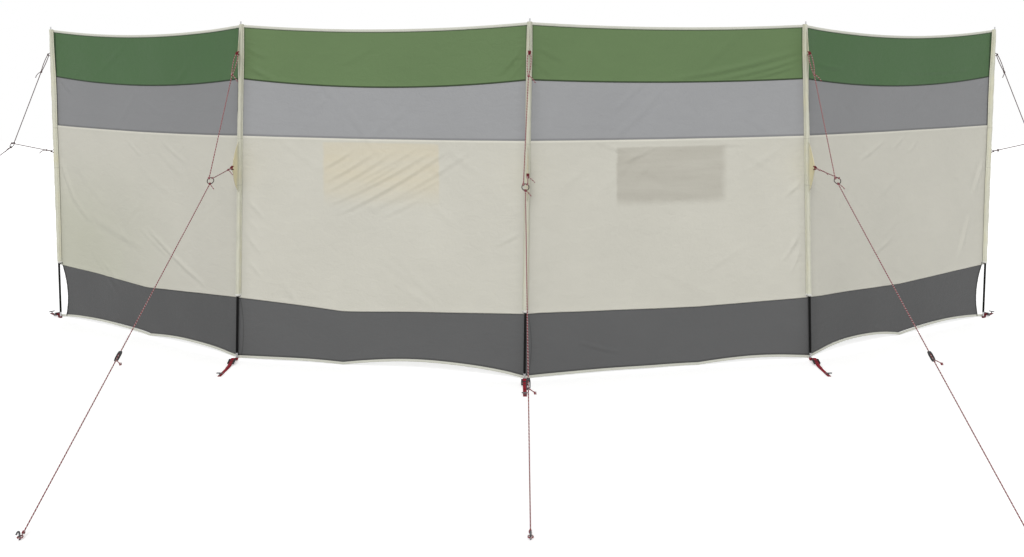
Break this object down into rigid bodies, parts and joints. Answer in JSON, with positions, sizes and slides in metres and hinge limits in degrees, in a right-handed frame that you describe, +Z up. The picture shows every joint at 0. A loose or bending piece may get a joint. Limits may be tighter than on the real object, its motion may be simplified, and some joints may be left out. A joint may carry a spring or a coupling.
{
  "type": "windbreak",
  "caption": "Cloth windbreak: banded panels in bays between upright poles in sewn sleeves, held by guy ropes with rings, sliders and pegs",
  "frame": {"origin": "flat end of the middle pole's foot pin, at ground level", "axes": "+X along the windbreak to the right as seen from its convex side, +Y to the sheltered side behind it, +Z up"},
  "size_m": [7.723, 2.5243, 1.45],
  "materials": {
    "green_cloth": "woven polyester, coated on the back",
    "grey_cloth": "woven polyester, coated on the back",
    "beige_cloth": "woven polyester, coated on the back",
    "skirt_cloth": "heavier woven polyester",
    "binding_tape": "narrow woven tape, stitched",
    "sleeve_cloth": "woven polyester, stitched",
    "pocket_cloth": "woven polyester, stitched",
    "pole_black": "black coated steel pole",
    "tip_steel": "plain zinc-grey steel",
    "ring_black": "black coated wire",
    "cord_red": "braided cord with pale reflective flecks",
    "slider_black": "moulded plastic",
    "webbing_red": "woven webbing",
    "buckle_black": "moulded plastic",
    "peg_steel": "plain steel wire"
  },
  "bodies": {
    "root": {"green_band_1": "green_cloth", "grey_band_1": "grey_cloth", "beige_band_1": "beige_cloth", "skirt_1": "skirt_cloth", "green_band_2": "green_cloth", "grey_band_2": "grey_cloth", "beige_band_2": "beige_cloth", "skirt_2": "skirt_cloth", "green_band_3": "green_cloth", "grey_band_3": "grey_cloth", "beige_band_3": "beige_cloth", "skirt_3": "skirt_cloth", "green_band_4": "green_cloth", "grey_band_4": "grey_cloth", "beige_band_4": "beige_cloth", "skirt_4": "skirt_cloth", "top_binding": "binding_tape", "bottom_binding": "binding_tape", "pole_1": "pole_black", "pole_sleeve_1": "sleeve_cloth", "guy_rope_1": "cord_red", "pole_2": "pole_black", "pole_sleeve_2": "sleeve_cloth", "guy_rope_2": "cord_red", "pole_3": "pole_black", "pole_sleeve_3": "sleeve_cloth", "guy_rope_3": "cord_red", "pole_4": "pole_black", "pole_sleeve_4": "sleeve_cloth", "guy_rope_4": "cord_red", "pole_5": "pole_black", "pole_sleeve_5": "sleeve_cloth", "guy_rope_5": "cord_red", "foot_ferrules": "tip_steel", "top_pins": "tip_steel", "storage_pocket_left": "pocket_cloth", "storage_pocket_right": "pocket_cloth", "guy_rings": "ring_black", "guy_tabs": "webbing_red", "guy_sliders": "slider_black", "foot_straps": "webbing_red", "strap_buckles": "buckle_black", "ground_pegs": "peg_steel"}
  },
  "joints": []
}
